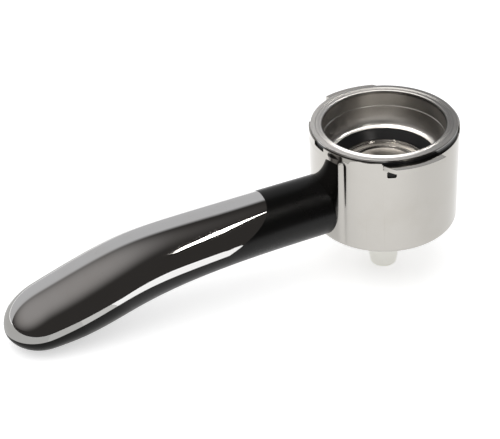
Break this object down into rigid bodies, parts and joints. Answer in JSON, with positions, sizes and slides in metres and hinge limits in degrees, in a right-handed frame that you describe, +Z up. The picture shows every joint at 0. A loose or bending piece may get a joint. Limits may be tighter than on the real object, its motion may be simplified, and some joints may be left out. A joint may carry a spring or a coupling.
{
  "type": "espresso portafilter",
  "caption": "Espresso portafilter: chromed cup with two bayonet lugs, steel liner, sprung crema valve, single long outlet and a long arched handle with a chrome cover.",
  "frame": {"origin": "centre of the outlet's lower end, the lowest point of the head", "axes": "+Z up the head's axis, out of the cup's mouth; the handle points along -X; the lugs are near +Y and -Y"},
  "size_m": [0.2298, 0.08, 0.0815],
  "materials": {
    "chrome_shell": "bright chrome plate",
    "chrome_spout": "bright chrome plate",
    "chrome_cover": "dark bright chrome plate",
    "satin_steel": "satin, turned and pressed",
    "turned_steel": "turned",
    "spring_wire": "drawn wire",
    "brass_insert": "turned and knurled",
    "black_rubber": "smooth moulded",
    "black_moulding": "moulded, fine grain",
    "black_grip": "satin moulded",
    "natural_plastic": "natural acetal"
  },
  "bodies": {
    "holder": {"housing_shell": "chrome_shell", "carrier_body": "black_moulding", "basket_cup": "satin_steel", "cup_gasket": "black_rubber", "seat_ring": "black_rubber", "valve_spring": "spring_wire", "valve_guide": "natural_plastic", "guide_screws": "turned_steel", "outlet_spout": "chrome_spout", "spout_gasket": "black_rubber", "spout_insert": "brass_insert", "handle_core": "black_grip", "grip_cover": "chrome_cover", "cover_screws": "turned_steel", "neck_spigot": "black_moulding", "tie_insert": "brass_insert", "tie_stud": "turned_steel", "tie_washer": "turned_steel", "tie_nut": "turned_steel"},
    "valve": {"valve_plate": "satin_steel", "valve_pin": "turned_steel", "valve_clip": "turned_steel"}
  },
  "joints": [
    {"name": "valve_slide", "type": "slide", "parent": "holder", "child": "valve", "axis": [0, 0, -1], "range_m": [0, 0.0018], "stiffness_N_per_m": 2500, "springref_m": -0.002, "deforming": ["valve_spring"]}
  ]
}
